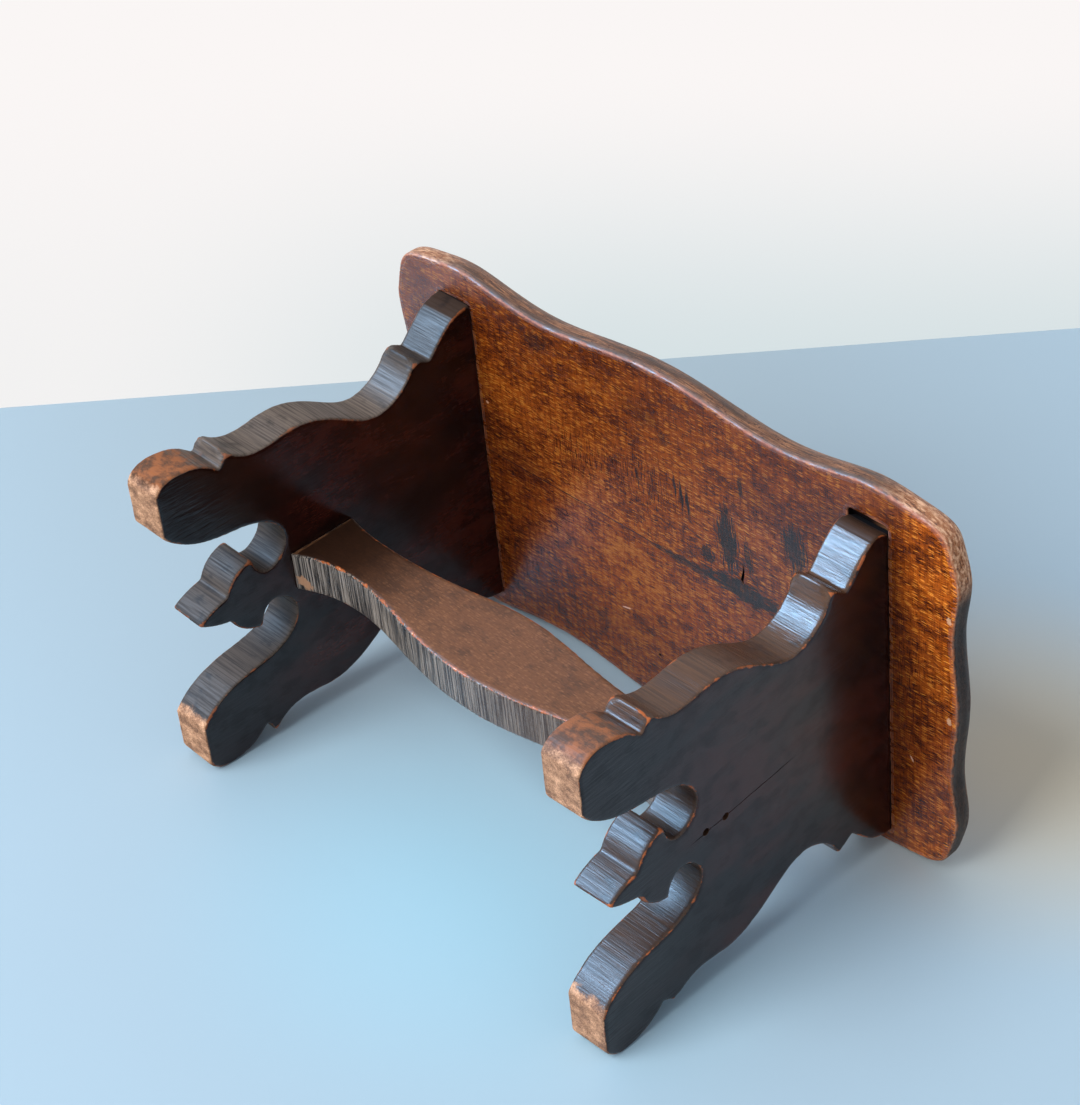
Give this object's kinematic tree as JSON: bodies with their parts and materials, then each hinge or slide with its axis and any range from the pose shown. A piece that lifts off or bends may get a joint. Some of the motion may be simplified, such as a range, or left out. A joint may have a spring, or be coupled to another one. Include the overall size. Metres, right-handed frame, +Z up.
{
  "type": "footstool",
  "caption": "Low wooden footstool: flat wavy-edged seat, fret-cut slab legs with a pendant between the feet, and a serpentine stretcher on edge between the legs.",
  "frame": {"origin": "on the floor, at the centre of the bounding box, which is under the middle of the seat", "axes": "+X along the seat's length, +Y across the seat, +Z up, with the stool standing on its feet"},
  "size_m": [0.306, 0.1756, 0.172],
  "materials": {
    "seat_wood": "worn dark stain, satin",
    "leg_wood": "worn dark stain, semi-gloss",
    "stretcher_wood": "worn dark stain, satin",
    "nail_steel": "dull",
    "stopping": "matt wood filler"
  },
  "bodies": {
    "root": {"seat_board_front": "seat_wood", "seat_board_back": "seat_wood", "leg_left": "leg_wood", "leg_right": "leg_wood", "stretcher": "stretcher_wood", "seat_nail_left_front": "nail_steel", "seat_nail_left_middle": "nail_steel", "seat_nail_left_back": "nail_steel", "seat_nail_right_front": "nail_steel", "seat_nail_right_middle": "nail_steel", "seat_nail_right_back": "nail_steel", "stretcher_nail_left_upper": "nail_steel", "stretcher_nail_left_lower": "nail_steel", "stretcher_nail_right_upper": "nail_steel", "stretcher_nail_right_lower": "nail_steel", "seat_stopping_left_front": "stopping", "seat_stopping_left_middle": "stopping", "seat_stopping_left_back": "stopping", "seat_stopping_right_front": "stopping", "seat_stopping_right_middle": "stopping", "seat_stopping_right_back": "stopping"}
  },
  "joints": []
}
